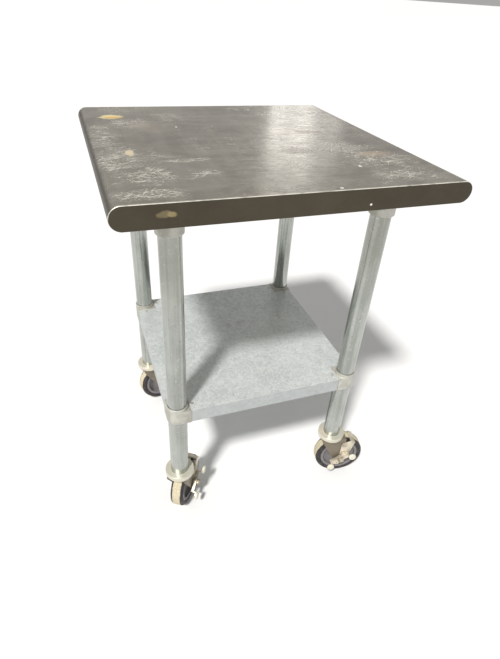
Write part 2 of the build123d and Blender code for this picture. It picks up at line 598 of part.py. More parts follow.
def brake_rocker(name):
    half = ROCKER_HALF_WIDTH
    arm_out = ROCKER_ARM_REACH
    arm_in = ROCKER_ARM_REACH - ROCKER_SHEET
    half_arm = ROCKER_ARM_WIDTH / 2
    lever = block(ROCKER_IN, ROCKER_OUT, -arm_out, arm_out, -half, half)
    lever += block(ROCKER_OUT, ROCKER_OUT + ROCKER_LIP, -arm_in, arm_in, ROCKER_LIP_IN, half)
    for end in (-1, 1):
        arm = block(ROCKER_IN, PAD_BACK, end * arm_in, end * arm_out, -half_arm, half_arm)
        tongue = block(PAD_BACK - ROCKER_SHEET, PAD_BACK, end * arm_in, end * PAD_RADIUS, -half_arm, half_arm)
        tongue += bar(half_arm, PAD_BACK - ROCKER_SHEET, PAD_BACK, end * PAD_RADIUS, 0)
        lever += arm + tongue
    lever = tilted(lever)
    lever += bar(ROCKER_BOSS, FORK_OUT + BRAKE_GAP / 2, ROCKER_OUT)
    lever += bar(ROCKER_DISC, ROCKER_IN, ROCKER_OUT)
    # one lobe carries the drive pin, the other the detent spring's hole
    lobe = DRIVE_PIN_DIAMETER / 2 + 3.5
    lever += pin_bar(lobe, ROCKER_IN, ROCKER_OUT)
    lever += bar(lobe, ROCKER_IN, ROCKER_OUT, TRAIL - DRIVE_PIN_AHEAD, AXLE_Z - DRIVE_PIN_ABOVE)
    lever += pin_bar(DRIVE_PIN_DIAMETER / 2, SHOE_IN + BRAKE_GAP / 2, ROCKER_IN)
    lever -= bar(2.2, ROCKER_IN - 1, ROCKER_OUT + 1, TRAIL - DRIVE_PIN_AHEAD, AXLE_Z - DRIVE_PIN_ABOVE)
    lever -= bar(AXLE_RADIUS + RUNNING_FIT, FORK_OUT, ROCKER_OUT + 1)
    return to_caster(lever, name)


def brake_pads(name):
    pad = bar(PAD_DIAMETER / 2, PAD_BACK, PAD_BACK + PAD_THICKNESS, 0, 0)
    pad = fillet(pad.faces().sort_by(Axis.X)[-1].edges(), PAD_THICKNESS * 0.6)
    return [to_caster(tilted(Pos(0, end * PAD_RADIUS, 0) * pad), name) for end in (-1, 1)]


# ---------------------------------------------------------------- writing the files
def write(node, shape):
    """Write one sub-part; a list becomes a group of separate solids."""
    if isinstance(shape, list):
        shape = Compound(children=[solid for item in shape for solid in item.solids()])
    shape.label = node
    export_step(shape, f"parts/{node}.step")


def main():
    os.makedirs("parts", exist_ok=True)
    write("worktop", worktop())
    write("hat_channel_left", hat_channel(-1))
    write("hat_channel_right", hat_channel(1))
    write("channel_studs", channel_studs())
    write("channel_nuts", channel_nuts())
    write("leg_set_screws", leg_set_screws())
    write("undershelf", undershelf())
    write("shelf_rivets", shelf_rivets())
    write("expander_sleeves", expander_sleeves())
    write("expander_nuts", expander_nuts())
    write("swivel_balls", swivel_balls())
    at_every_corner = (
        leg_socket, leg, shelf_corner, caster_stem, caster_fork, axle_bolt, axle_nut,
        wheel_core, wheel_tyre, axle_bush,
    )
    at_every_brake = (brake_rocker, brake_pads, brake_shoe, brake_pivot)
    for name, (_, _, _, braked) in CORNERS.items():
        for piece in at_every_corner + (at_every_brake if braked else ()):
            write(f"{piece.__name__}_{name}", piece(name))


main()
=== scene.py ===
import json
from math import cos, pi, radians, sin

import bmesh
import bpy
from bpy.props import FloatProperty, FloatVectorProperty, IntProperty, PointerProperty
from mathutils import Matrix, Vector
from mathutils.bvhtree import BVHTree

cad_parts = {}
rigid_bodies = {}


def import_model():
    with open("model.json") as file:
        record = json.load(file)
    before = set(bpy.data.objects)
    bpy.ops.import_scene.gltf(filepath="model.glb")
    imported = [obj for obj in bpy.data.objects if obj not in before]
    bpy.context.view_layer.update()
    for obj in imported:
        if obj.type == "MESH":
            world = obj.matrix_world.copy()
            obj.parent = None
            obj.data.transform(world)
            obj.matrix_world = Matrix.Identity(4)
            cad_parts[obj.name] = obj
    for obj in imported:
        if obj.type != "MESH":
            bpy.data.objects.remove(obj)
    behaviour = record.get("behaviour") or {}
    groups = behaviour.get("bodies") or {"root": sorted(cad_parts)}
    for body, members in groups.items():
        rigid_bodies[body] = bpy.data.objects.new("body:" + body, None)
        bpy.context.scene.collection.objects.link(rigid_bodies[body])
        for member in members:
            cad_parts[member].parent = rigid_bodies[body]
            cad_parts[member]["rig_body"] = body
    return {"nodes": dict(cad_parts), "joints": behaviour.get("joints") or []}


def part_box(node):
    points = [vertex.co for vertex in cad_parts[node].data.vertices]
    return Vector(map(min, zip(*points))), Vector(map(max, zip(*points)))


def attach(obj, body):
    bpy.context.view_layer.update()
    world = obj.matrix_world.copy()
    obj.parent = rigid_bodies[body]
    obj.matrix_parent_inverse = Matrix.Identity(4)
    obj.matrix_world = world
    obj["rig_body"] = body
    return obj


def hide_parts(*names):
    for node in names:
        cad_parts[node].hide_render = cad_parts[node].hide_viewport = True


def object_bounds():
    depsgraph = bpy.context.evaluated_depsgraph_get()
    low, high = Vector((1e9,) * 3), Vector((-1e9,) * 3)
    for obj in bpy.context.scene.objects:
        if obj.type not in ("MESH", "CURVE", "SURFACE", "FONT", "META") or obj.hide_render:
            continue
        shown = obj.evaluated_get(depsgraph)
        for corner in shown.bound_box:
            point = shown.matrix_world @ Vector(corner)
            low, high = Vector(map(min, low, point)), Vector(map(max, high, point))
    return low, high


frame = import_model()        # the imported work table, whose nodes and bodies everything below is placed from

bl_info = {
    "name": "Kitchen work table",
    "version": (1, 0, 0),
    "blender": (4, 5, 0),
    "location": "3D View > Sidebar > Work table",
    "description": "Finishes a stainless work table with a galvanised undershelf and swivel casters",
    "category": "Object",
}

MM = 0.001
CAD_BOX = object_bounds()
CORNERS = ("front_left", "front_right", "back_left", "back_right")
BRAKED = ("front_left", "front_right")
JOINTS = {joint["name"]: joint for joint in frame["joints"]}
WORKTOP_LOW, WORKTOP_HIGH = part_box("worktop")
SHELF_LOW, SHELF_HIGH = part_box("undershelf")


# ------------------------------------------------------------------ shader maths
class Value:
    """A shader socket, number or colour, that Python expressions can be written with."""

    def __init__(self, finish, socket):
        self.finish = finish
        self.socket = socket

    def _math(self, operation, *values):
        return self.finish.node("ShaderNodeMath", {"operation": operation}, dict(enumerate(values)))

    def __add__(self, other):
        return self._math("ADD", self, other)

    def __radd__(self, other):
        return self._math("ADD", other, self)

    def __sub__(self, other):
        return self._math("SUBTRACT", self, other)

    def __rsub__(self, other):
        return self._math("SUBTRACT", other, self)

    def __mul__(self, other):
        return self._math("MULTIPLY", self, other)

    def __rmul__(self, other):
        return self._math("MULTIPLY", other, self)

    def __truediv__(self, other):
        return self._math("DIVIDE", self, other)

    def __pow__(self, other):
        return self._math("POWER", self, other)

    def larger(self, other):
        return self._math("MAXIMUM", self, other)

    def size(self):
        return self._math("ABSOLUTE", self)

    def between(self, low, high):
        """0 below low, 1 above high, and smooth between them."""
        settings = {"interpolation_type": "SMOOTHSTEP", "clamp": True}
        sockets = {"Value": self, "From Min": low, "From Max": high}
        return self.finish.node("ShaderNodeMapRange", settings, sockets)


class Finish:
    """One material: a Principled shader, and the nodes that drive it from the piece's own coordinates."""

    def __init__(self, name, **constants):
        self.material = bpy.data.materials.new(name)
        self.material.use_nodes = True
        self.tree = self.material.node_tree
        self.tree.nodes.clear()
        self.shader = self.tree.nodes.new("ShaderNodeBsdfPrincipled")
        surface = self.tree.nodes.new("ShaderNodeOutputMaterial")
        self.tree.links.new(self.shader.outputs[0], surface.inputs["Surface"])
        for name, value in constants.items():
            self.shader.inputs[name.replace("_", " ").title().replace("Ior", "IOR")].default_value = value
        self.place = self.node("ShaderNodeTexCoord", {}, {}, "Object")

    def node(self, kind, settings, sockets, output=0):
        """A node of one kind: its settings first, then the values or links of its sockets."""
        node = self.tree.nodes.new(kind)
        for key, value in settings.items():
            if key == "stops":
                ramp = node.color_ramp
                while len(ramp.elements) < len(value):
                    ramp.elements.new(0.5)
                for element, (position, colour) in zip(ramp.elements, value):
                    element.position = position
                    element.color = colour
            else:
                setattr(node, key, value)
        for key, value in sockets.items():
            if isinstance(value, Value):
                self.tree.links.new(value.socket, node.inputs[key])
            else:
                node.inputs[key].default_value = value
        return Value(self, node.outputs[output])

    def scaled(self, factors, vector=None):
        source = vector or self.place
        return self.node("ShaderNodeVectorMath", {"operation": "MULTIPLY"}, {0: source, 1: factors})

    def moved(self, offset, vector=None):
        source = vector or self.place
        return self.node("ShaderNodeVectorMath", {"operation": "ADD"}, {0: source, 1: offset})

    def turned(self, degrees, vector=None):
        source = vector or self.place
        return self.node("ShaderNodeMapping", {}, {"Vector": source, "Rotation": (0, 0, radians(degrees))})

    def axis(self, letter, vector=None):
        return self.node("ShaderNodeSeparateXYZ", {}, {0: vector or self.place}, letter)

    def noise(self, scale, vector=None, detail=3.0, roughness=0.5, distortion=0.0):
        sockets = {"Vector": vector or self.place, "Scale": scale, "Detail": detail}
        sockets.update({"Roughness": roughness, "Distortion": distortion})
        return self.node("ShaderNodeTexNoise", {}, sockets)

    def cells(self, scale, output="Distance", vector=None):
        return self.node("ShaderNodeTexVoronoi", {}, {"Vector": vector or self.place, "Scale": scale}, output)

    def length(self, vector):
        return self.node("ShaderNodeVectorMath", {"operation": "LENGTH"}, {0: vector}, "Value")

    def normal(self):
        """The surface's direction in the piece's own coordinates."""
        return self.node("ShaderNodeTexCoord", {}, {}, "Normal")

    def facing(self, letter):
        """How far the surface faces along one axis, either way: 0 to 1."""
        return self.axis(letter, self.normal()).size()

    def spot(self, centre, reach, ragged, low=0.6, high=1.1):
        """1 inside an ellipsoid with a ragged rim, 0 outside; centre in metres, reach in mm."""
        across = tuple(1000.0 / size for size in reach)
        offset = self.scaled(across, self.moved(tuple(-centre)))
        return 1.0 - (self.length(offset) + ragged).between(low, high)

    def mix(self, share, first, second):
        return self.node("ShaderNodeMix", {"data_type": "RGBA"}, {0: share, 6: first, 7: second}, 2)

    def bump(self, height, depth, strength=1.0):
        """Height field, in shares of depth, which is in metres."""
        return self.node("ShaderNodeBump", {}, {"Height": height, "Distance": depth, "Strength": strength})

    def drive(self, **links):
        for name, value in links.items():
            self.tree.links.new(value.socket, self.shader.inputs[name.replace("_", " ").title()])
        return self.material

    def scratches(self, angle, threshold, fineness=420.0, length=26.0):
        """Thin broken strokes that run at an angle across the top, from 0 to 1."""
        stroke = self.scaled((length, fineness, length), self.turned(angle, self.bent))
        return self.noise(1.0, stroke, detail=1.0).between(threshold, threshold + 0.035)

    @property
    def bent(self):
        """The piece's coordinates, pushed about a little so that long lines aren't ruler-straight."""
        push = self.noise(2.5, detail=0.0)
        sockets = {0: push_vector(self, push), "Scale": 0.03}
        push = self.node("ShaderNodeVectorMath", {"operation": "SCALE"}, sockets)
        return self.node("ShaderNodeVectorMath", {"operation": "ADD"}, {0: self.place, 1: push})


def push_vector(finish, amount):
    return finish.node("ShaderNodeCombineXYZ", {}, {"X": amount, "Y": amount, "Z": 0.0})


def rgba(colour, gain=1.0):
    return (colour[0] * gain, colour[1] * gain, colour[2] * gain, 1.0)


# ------------------------------------------------------------------ finishes
# x, y, z from the worktop's middle, half length and half width, in mm; strength; colour
STAINS = (
    (-243, 203, 19, 26, 20, 1.0, (0.78, 0.66, 0.36)),
    (-238, 196, 19, 22, 9, 0.9, (0.66, 0.43, 0.14)),
    (-240, -66, 19, 8, 17, 0.85, (0.72, 0.60, 0.40)),
    (-226, -305, 3, 15, 6, 0.75, (0.21, 0.165, 0.085)),
    (-217, -305, 2, 8, 5, 0.7, (0.33, 0.265, 0.13)),
    (148, 36, 19, 34, 12, 0.25, (0.36, 0.26, 0.17)),
    (206, -134, 19, 40, 17, 0.55, (0.36, 0.26, 0.17)),
    (66, -90, 19, 34, 24, 0.25, (0.20, 0.16, 0.13)),
    (-170, 110, 19, 52, 60, 0.45, (0.25, 0.215, 0.19)),
    (52, -295, 19, 3, 3, 1.0, (0.9, 0.88, 0.82)),
    (141, -198, 19, 3, 4, 1.0, (0.9, 0.88, 0.82)),
    (-121, 104, 19, 3, 5, 1.0, (0.9, 0.88, 0.82)),
    (105, -305, -8, 2, 2, 1.0, (0.8, 0.78, 0.72)),
)
# x, y from the worktop's middle, half length and half width, in mm; strength
SCUFFS = (
    (-226, -187, 70, 60, 1.0), (-266, -90, 60, 90, 1.0), (-275, 40, 40, 120, 0.8), (-140, -191, 36, 24, 1.0),
    (205, -165, 90, 62, 1.0), (200, -250, 70, 44, 0.9), (170, -90, 80, 60, 0.7), (43, -178, 34, 30, 0.7),
    (-215, 150, 70, 60, 0.9), (-120, 190, 70, 50, 0.6), (-235, -270, 70, 34, 1.0), (-147, -121, 70, 14, 0.8),
    (-60, 20, 90, 90, 0.2), (150, 20, 60, 90, 0.35),
)


def worn_stainless(name, sizes):
    """Brushed sheet, gone brown-grey with use: fine grain along X, smears, scratches, specks and stains."""
    finish = Finish(name)
    middle = (WORKTOP_LOW + WORKTOP_HIGH) / 2
    upward = finish.facing("Z").between(0.6, 0.95)
    endward = finish.facing("Y")
    grain_top = finish.noise(1.0, finish.scaled((7.0, 1400.0, 7.0)), detail=2.0)
    grain_end = finish.noise(1.0, finish.scaled((7.0, 7.0, 1400.0)), detail=2.0)
    grain = grain_top + endward.between(0.6, 0.9) * (grain_end - grain_top)
    streak = finish.noise(1.0, finish.scaled((2.5, 60.0, 20.0)), detail=4.0, roughness=0.6)
    cloud = finish.noise(4.5, detail=6.0, roughness=0.66, distortion=0.4)
    smudge = finish.noise(17.0, finish.scaled((0.7, 1.2, 1.0)), detail=6.0, roughness=0.7, distortion=0.8)
    wiped = finish.noise(1.0, finish.scaled((34.0, 3.0, 3.0), finish.bent), detail=3.0, roughness=0.6)
    tone = 0.44 * cloud + 0.16 * streak + 0.40 * smudge
    base = finish.mix(tone.between(0.38, 0.62), rgba(sizes.dark), rgba(sizes.light))
    base = finish.mix((grain - 0.5).larger(0.0) * 0.8, base, rgba(sizes.light, 1.2))
    base = finish.mix(wiped.between(0.45, 0.65) * 0.28, base, rgba(sizes.light, 1.15))
    # the folded edges, and every face that does not face up, are much darker than the top: partly grime,
    # partly painted shade standing in for their dark reflections
    edge = 1.0 - upward
    edge_grime_and_shade = finish.mix(cloud.between(0.3, 0.75) * 0.4, rgba(sizes.edge, 1.15), rgba(sizes.edge, 1.8))
    base = finish.mix(edge * 0.94, base, edge_grime_and_shade)
    # scratches and dried-on flecks, thick in the places where things are set down
    ragged = finish.noise(46.0, finish.scaled((0.6, 1.6, 1.0)), detail=5.0, roughness=0.78)
    patchy = finish.noise(30.0, finish.moved((3.1, 1.7, 0.0)), detail=4.0, roughness=0.65)
    broad = finish.noise(6.5, finish.moved((3.1, 1.7, 0.0)), detail=3.0, roughness=0.6)
    worn = broad.between(0.50, 0.70) * 0.5
    for x, y, long, wide, strength in SCUFFS:
        centre = Vector((middle.x + x * MM, middle.y + y * MM, WORKTOP_HIGH.z))
        reach = (long, wide, 60.0)
        worn = worn.larger(finish.spot(centre, reach, (patchy - 0.5) * 1.4, 0.2, 1.1) * strength)
    lines = finish.scratches(4, 0.61) + finish.scratches(-33, 0.61, 360.0, 34.0) + finish.scratches(41, 0.62)
    lines = lines + finish.scratches(-62, 0.645, 300.0, 40.0) + finish.scratches(17, 0.62, 260.0, 12.0)
    lines = lines + finish.scratches(-12, 0.64, 520.0, 9.0) + finish.scratches(73, 0.645, 480.0, 50.0)
    fleck = finish.noise(310.0, detail=3.0, roughness=0.6).between(0.57, 0.62)
    crumb = finish.noise(110.0, detail=4.0, roughness=0.7).between(0.59, 0.64)
    wear = worn * (lines * 0.8 + 0.75 * fleck + 0.75 * crumb) + 0.06 * lines + 0.08 * fleck
    wear = (wear * sizes.wear * upward).between(0.0, 1.6)
    base = finish.mix(wear * 0.8, base, (0.80, 0.76, 0.68, 1.0))
    # hard white specks, one in a dozen cells
    near = finish.cells(46.0)
    chosen = finish.axis("X", finish.cells(46.0, "Color")).between(0.90, 0.905)
    speck = chosen * (1.0 - near.between(0.03, 0.07)) * upward
    dots = finish.cells(210.0)
    rare = finish.axis("X", finish.cells(210.0, "Color")).between(0.90, 0.905)
    speck = (speck + rare * worn * (1.0 - dots.between(0.14, 0.26))).between(0.0, 1.0)
    base = finish.mix(speck * (0.25 + 0.75 * upward), base, (0.84, 0.81, 0.74, 1.0))
    # stains, each with its own place, reach and colour
    marks = []
    for x, y, z, long, wide, strength, shade in STAINS:
        centre = Vector((middle.x + x * MM, middle.y + y * MM, middle.z + z * MM))
        mark = finish.spot(centre, (long, wide, wide), (ragged - 0.5) * 2.3)
        marks.append(mark * strength)
        base = finish.mix(marks[-1], base, rgba(shade))
    dry = marks[0]
    for mark in marks[1:]:
        dry = dry.larger(mark)
    # the fold at the flat ends and the lips beside it are lightened to a pale line: partly rubbed wear, partly
    # a painted highlight along the bend
    fold_wear_and_highlight = endward.between(0.06, 0.24) * (1.0 - endward.between(0.90, 1.0))
    upper = finish.axis("Z").between(WORKTOP_LOW.z + 3.0 * MM, WORKTOP_HIGH.z - 8.0 * MM)
    rub = fold_wear_and_highlight * upper
    lip_wear_and_highlight = finish.axis("Y").size().between(WORKTOP_HIGH.y - 5.5 * MM, WORKTOP_HIGH.y - 2.5 * MM) * upward
    rub = rub.larger(lip_wear_and_highlight * 0.4)
    rub = rub * (0.5 + 0.5 * finish.noise(70.0, detail=3.0).between(0.3, 0.6))
    base = finish.mix((rub * 1.1).between(0.0, 1.0), base, (0.92, 0.88, 0.77, 1.0))
    roughness = sizes.roughness + (tone - 0.5) * 0.30 + (wiped - 0.5) * 0.16
    roughness = roughness + wear * 0.2 + dry * 0.25 + edge * 0.22
    wave = finish.noise(5.0, finish.scaled((1.0, 0.5, 1.0)), detail=1.0)
    surface = finish.bump(grain * 0.05 + 0.6 * wave + wiped * 0.12 + lines * 0.03 + wear * 0.05, 1.1 * MM)
    metal = 0.94 - 0.6 * wear.larger(speck) - 0.5 * rub
    metal = metal * (1.0 - dry * 0.8)
    return finish.drive(base_color=base, roughness=roughness, metallic=metal, normal=surface)


def galvanised_tube(name, sizes):
    """Drawn zinc tube: long streaks and dull blotches, with painted shade that makes it a little browner near
    the worktop.
    """
    finish = Finish(name)
    streak = finish.noise(1.0, finish.scaled((190.0, 190.0, 1.6)), detail=3.0, roughness=0.55)
    blotch = finish.noise(26.0, finish.scaled((1.0, 1.0, 0.35)), detail=5.0, roughness=0.62)
    tone = 0.45 * streak + 0.55 * blotch
    base = finish.mix(tone.between(0.36, 0.64), rgba(sizes.dark), rgba(sizes.light))
    # painted shade: the tube is painted browner and darker towards the worktop, where the worktop shades it
    high = finish.axis("Z").between(SHELF_HIGH.z + 0.18, WORKTOP_LOW.z - 0.05)
    base = finish.mix(high * 0.35, base, rgba(sizes.painted_upper_shade))
    rub = finish.noise(1.0, finish.scaled((60.0, 60.0, 420.0)), detail=2.0).between(0.66, 0.74)
    base = finish.mix(rub * 0.15, base, rgba(sizes.light, 1.2))
    spot = finish.noise(150.0, detail=2.0).between(0.68, 0.76)
    base = finish.mix(spot * 0.5, base, (0.14, 0.12, 0.09, 1.0))
    pale = finish.noise(210.0, finish.moved((0.3, 0.8, 0.1)), detail=2.0).between(0.66, 0.70)
    base = finish.mix(pale * 0.28, base, (0.86, 0.86, 0.82, 1.0))
    roughness = sizes.roughness + (tone - 0.5) * 0.25 + spot * 0.2
    surface = finish.bump(blotch * 0.6 + streak * 0.25, 0.25 * MM)
    return finish.drive(base_color=base, roughness=roughness, metallic=0.88 - spot * 0.5, normal=surface)


def galvanised_sheet(name, sizes):
    """Hot-dipped sheet gone dull: soft crystal spangle, cloudy oxide, pale salt specks, handling marks, and
    painted shade on the faces that do not face up.
    """
    finish = Finish(name)
    sockets = {"Vector": finish.place, "Scale": 55.0, "Detail": 2.0}
    soft = finish.node("ShaderNodeTexNoise", {}, sockets, "Color")
    soft = finish.node("ShaderNodeVectorMath", {"operation": "SCALE"}, {0: soft, "Scale": 0.006})
    shaken = finish.node("ShaderNodeVectorMath", {"operation": "ADD"}, {0: finish.place, 1: soft})
    crystal = finish.axis("X", finish.cells(sizes.spangle, "Color", shaken))
    crystal_tilt = finish.axis("Y", finish.cells(sizes.spangle, "Color", shaken))
    cloud = finish.noise(7.0, detail=6.0, roughness=0.62)
    grain = finish.noise(420.0, detail=2.0)
    tone = 0.20 * crystal + 0.50 * cloud + 0.30 * grain
    base = finish.mix(tone.between(0.32, 0.66), rgba(sizes.dark), rgba(sizes.light))
    flat = finish.facing("Z").between(0.5, 0.9)
    # painted shade: faces that do not face up are painted darker than the top
    base = finish.mix((1.0 - flat) * 0.5, base, rgba(sizes.dark, 0.6))
    # pale salt specks, thickest towards the near right corner
    near = finish.axis("X") * 0.6 - finish.axis("Y")
    thick = near.between(-0.15, 0.35)
    salt = finish.noise(400.0, finish.moved((0.2, 0.5, 0.3)), detail=3.0, roughness=0.6)
    base = finish.mix((salt + 0.05 * thick).between(0.585, 0.65) * flat * 0.7, base, (0.90, 0.91, 0.88, 1.0))
    lines = (finish.scratches(12, 0.63) + finish.scratches(-52, 0.65) + finish.scratches(81, 0.65)) * flat
    base = finish.mix((lines * 0.25).between(0.0, 1.0), base, rgba(sizes.light, 1.25))
    grime = finish.noise(30.0, finish.moved((0.7, 0.2, 0.0)), detail=5.0).between(0.60, 0.75)
    base = finish.mix(grime * 0.25, base, (0.24, 0.22, 0.18, 1.0))
    roughness = sizes.roughness + (crystal_tilt - 0.5) * 0.20 + (cloud - 0.5) * 0.15
    surface = finish.bump(0.35 * crystal_tilt + 0.4 * cloud + lines * 0.1, 0.3 * MM)
    return finish.drive(base_color=base, roughness=roughness, metallic=0.30 - grime * 0.2, normal=surface)


def cast_metal(name, sizes):
    """Cast aluminium: bright and dull, slightly pitted, with grease in patches."""
    finish = Finish(name)
    pits = finish.noise(520.0, detail=3.0, roughness=0.6)
    cloud = finish.noise(26.0, detail=5.0, roughness=0.6)
    base = finish.mix(cloud.between(0.35, 0.65), rgba(sizes.dark), rgba(sizes.light))
    grease = (0.6 * cloud + 0.4 * pits).between(0.56, 0.70)
    base = finish.mix(grease * 0.30, base, rgba(sizes.grime))
    roughness = sizes.roughness + (pits - 0.5) * 0.2 + grease * 0.1
    surface = finish.bump(pits + cloud, 0.3 * MM)
    return finish.drive(base_color=base, roughness=roughness, metallic=0.30 - grease * 0.2, normal=surface)


def plated_steel(name, light, dark, grime, soiled=0.5, roughness=0.38):
    """Zinc-plated pressings with a brown grease film in cloudy patches, cream where rubbed, and browner
    towards the floor.
    """
    finish = Finish(name)
    cloud = finish.noise(24.0, detail=4.0, roughness=0.5)
    fine = finish.noise(300.0, detail=3.0, roughness=0.6)
    base = finish.mix(cloud.between(0.40, 0.62), rgba(light), rgba(dark))
    film = (0.8 * cloud + 0.2 * fine).between(0.62 - 0.36 * soiled, 0.78 - 0.16 * soiled)
    # darker and browner towards the bottom
    low = 1.0 - finish.axis("Z").between(0.035, 0.15)
    base = finish.mix((film * 0.7 + low * 0.2).between(0.0, 1.0) * soiled, base, rgba(grime))
    rust = finish.noise(80.0, finish.moved((0.4, 0.9, 0.0)), detail=4.0).between(0.66, 0.74)
    base = finish.mix(rust * 0.4 * soiled, base, (0.20, 0.095, 0.04, 1.0))
    rough = roughness + film * 0.2 + (fine - 0.5) * 0.12
    surface = finish.bump(cloud * 0.7 + fine * 0.3, 0.15 * MM)
    metal = 0.45 - film * 0.3 - rust * 0.1
    return finish.drive(base_color=base, roughness=rough, metallic=metal, normal=surface)


def bright_steel(name):
    """Hardened balls and screws: clean grey steel with faint turning marks."""
    finish = Finish(name)
    fine = finish.noise(700.0, detail=2.0)
    cloud = finish.noise(60.0, detail=3.0)
    base = finish.mix(cloud.between(0.35, 0.65), (0.34, 0.34, 0.34, 1.0), (0.52, 0.51, 0.49, 1.0))
    surface = finish.bump(fine, 0.05 * MM)
    metal = 0.96 - cloud * 0.06
    return finish.drive(base_color=base, roughness=0.24 + fine * 0.16, metallic=metal, normal=surface)


def tyre_rubber(name, sizes):
    """Grey-black rubber. The tread is pale with floor dust and grit; the sides are cleaner and scuffed."""
    finish = Finish(name, specular_ior_level=0.2)
    across = finish.node("ShaderNodeAttribute", {"attribute_name": "across"}, {}, "Fac")
    cloud = finish.noise(55.0, detail=5.0, roughness=0.66)
    grit = finish.noise(480.0, detail=3.0, roughness=0.6)
    tread = 1.0 - (across.size() + (cloud - 0.5) * 0.5).between(0.42, 0.78)
    base = finish.mix(cloud.between(0.3, 0.7), rgba(sizes.rubber, 0.8), rgba(sizes.rubber, 1.5))
    dust = (tread * (0.55 + cloud) * 1.15 + (grit - 0.5) * 0.7).between(0.35, 0.85)
    pale = finish.mix(grit.between(0.3, 0.7), rgba(sizes.dust, 0.75), rgba(sizes.dust, 1.15))
    base = finish.mix(dust * 0.92, base, pale)
    scuff = finish.noise(120.0, detail=2.0).between(0.62, 0.72)
    base = finish.mix(scuff * 0.2, base, rgba(sizes.dust, 0.5))
    surface = finish.bump(grit * 0.6 + cloud, 0.4 * MM)
    return finish.drive(base_color=base, roughness=0.5 + dust * 0.4 + (grit - 0.5) * 0.1, normal=surface)


def moulded_plastic(name, colour, grime, roughness=0.45):
    """Moulded plastic with a faint skin texture and dirt rubbed into it."""
    finish = Finish(name)
    skin = finish.noise(900.0, detail=2.0)
    cloud = finish.noise(70.0, detail=5.0, roughness=0.65)
    base = finish.mix(cloud.between(0.25, 0.75), rgba(colour, 0.86), rgba(colour, 1.1))
    dirt = cloud.between(0.50, 0.68)
    base = finish.mix(dirt * 0.45, base, rgba(grime))
    surface = finish.bump(skin + cloud * 0.5, 0.12 * MM)
    return finish.drive(base_color=base, roughness=roughness + dirt * 0.2 + (skin - 0.5) * 0.1, normal=surface)


def studio_floor(name, colour):
    """Pale matt floor, with a trace of unevenness so that it isn't one flat colour."""
    finish = Finish(name)
    cloud = finish.noise(1.2, detail=3.0)
    base = finish.mix(cloud, rgba(colour, 0.985), rgba(colour))
    return finish.drive(base_color=base, roughness=0.9 + cloud * 0.05)


# ------------------------------------------------------------------ pieces
def finished(piece, body, material, replaces=()):
    """Give a piece its material, body, slot and the CAD nodes that it stands for."""
    piece.data.materials.clear()
    piece.data.materials.append(material)
    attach(piece, body)
    if replaces:
        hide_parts(*replaces)
    return piece


def new_piece(name, mesh):
    piece = bpy.data.objects.new(name, mesh)
    bpy.context.scene.collection.objects.link(piece)
    return piece


def evaluated_mesh(piece):
    """The piece's mesh with its modifiers in it, and none left on the piece."""
    bpy.context.view_layer.update()
    graph = bpy.context.evaluated_depsgraph_get()
    mesh = bpy.data.meshes.new_from_object(piece.evaluated_get(graph))
    piece.modifiers.clear()
    piece.data = mesh
    return piece


def smooth(mesh, angle=32.0):
    mesh.shade_smooth()
    mesh.set_sharp_from_angle(angle=radians(angle))


def body_of(node):
    return frame["nodes"][node]["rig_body"]


def paint(node, material):
    """A CAD node that keeps its own mesh gets a finish in its material slots."""
    mesh = frame["nodes"][node].data
    mesh.materials.clear()
    mesh.materials.append(material)


def tucked_in(mesh, surface, reach):
    """Put the points that the bevel threw further than reach off the part back on its surface."""
    for vert in mesh.vertices:
        place, _, _, gap = surface.find_nearest(vert.co)
        if gap > reach:
            vert.co = place
    mesh.update()


def softened(node, material, width, segments=2, angle=35.0):
    """Merged copy of a CAD node with its edges rounded over, which stands for the node."""
    mesh = bpy.data.meshes.new(node + "_finished")
    shape = bmesh.new()
    shape.from_mesh(frame["nodes"][node].data)
    bmesh.ops.remove_doubles(shape, verts=shape.verts, dist=0.002 * MM)
    bmesh.ops.dissolve_limit(shape, angle_limit=radians(0.6), verts=shape.verts, edges=shape.edges)
    surface = BVHTree.FromBMesh(shape)
    shape.to_mesh(mesh)
    shape.free()
    if "custom_normal" in mesh.attributes:
        mesh.attributes.remove(mesh.attributes["custom_normal"])
    piece = new_piece(node + "_finished", mesh)
    bevel = piece.modifiers.new("rounded", "BEVEL")
    bevel.width = width
    bevel.segments = segments
    bevel.limit_method = "ANGLE"
    bevel.angle_limit = radians(angle)
    bevel.use_clamp_overlap = False
    evaluated_mesh(piece)
    tucked_in(piece.data, surface, width)
    smooth(piece.data)
    return finished(piece, body_of(node), material, [node])


def axle_frame(corner):
    """Matrix that puts a wheel piece, made about its own Z axis, on the caster's axle."""
    joint = JOINTS["roll_" + corner]
    turn = Vector(joint["axis"]).to_track_quat("Z", "Y").to_matrix().to_4x4()
    return Matrix.Translation(Vector(joint["pos_m"])) @ turn


def revolved(name, profile, place, steps=96):
    """Closed ring from a closed profile of (radius, along) points, with its place across the profile kept."""
    mesh = bpy.data.meshes.new(name)
    shape = bmesh.new()
    widest = max(abs(along) for _, along in profile)
    layer = shape.verts.layers.float.new("across")
    rings = []
    for step in range(steps):
        turn = 2 * pi * step / steps
        ring = []
        for radius, along in profile:
            vert = shape.verts.new((radius * cos(turn), radius * sin(turn), along))
            vert[layer] = along / widest
            ring.append(vert)
        rings.append(ring)
    for step in range(steps):
        here, there = rings[step], rings[(step + 1) % steps]
        for i in range(len(profile)):
            j = (i + 1) % len(profile)
            shape.faces.new((here[i], there[i], there[j], here[j]))
    bmesh.ops.recalc_face_normals(shape, faces=shape.faces)
    shape.transform(place)
    shape.to_mesh(mesh)
    shape.free()
    smooth(mesh, 40.0)
    return new_piece(name, mesh)


def arc(centre, radius, start, end, steps):
    """Points of an arc in the profile plane, angles in degrees."""
    points = []
    for step in range(steps + 1):
        turn = radians(start + (end - start) * step / steps)
        points.append((centre[0] + radius * cos(turn), centre[1] + radius * sin(turn)))
    return points


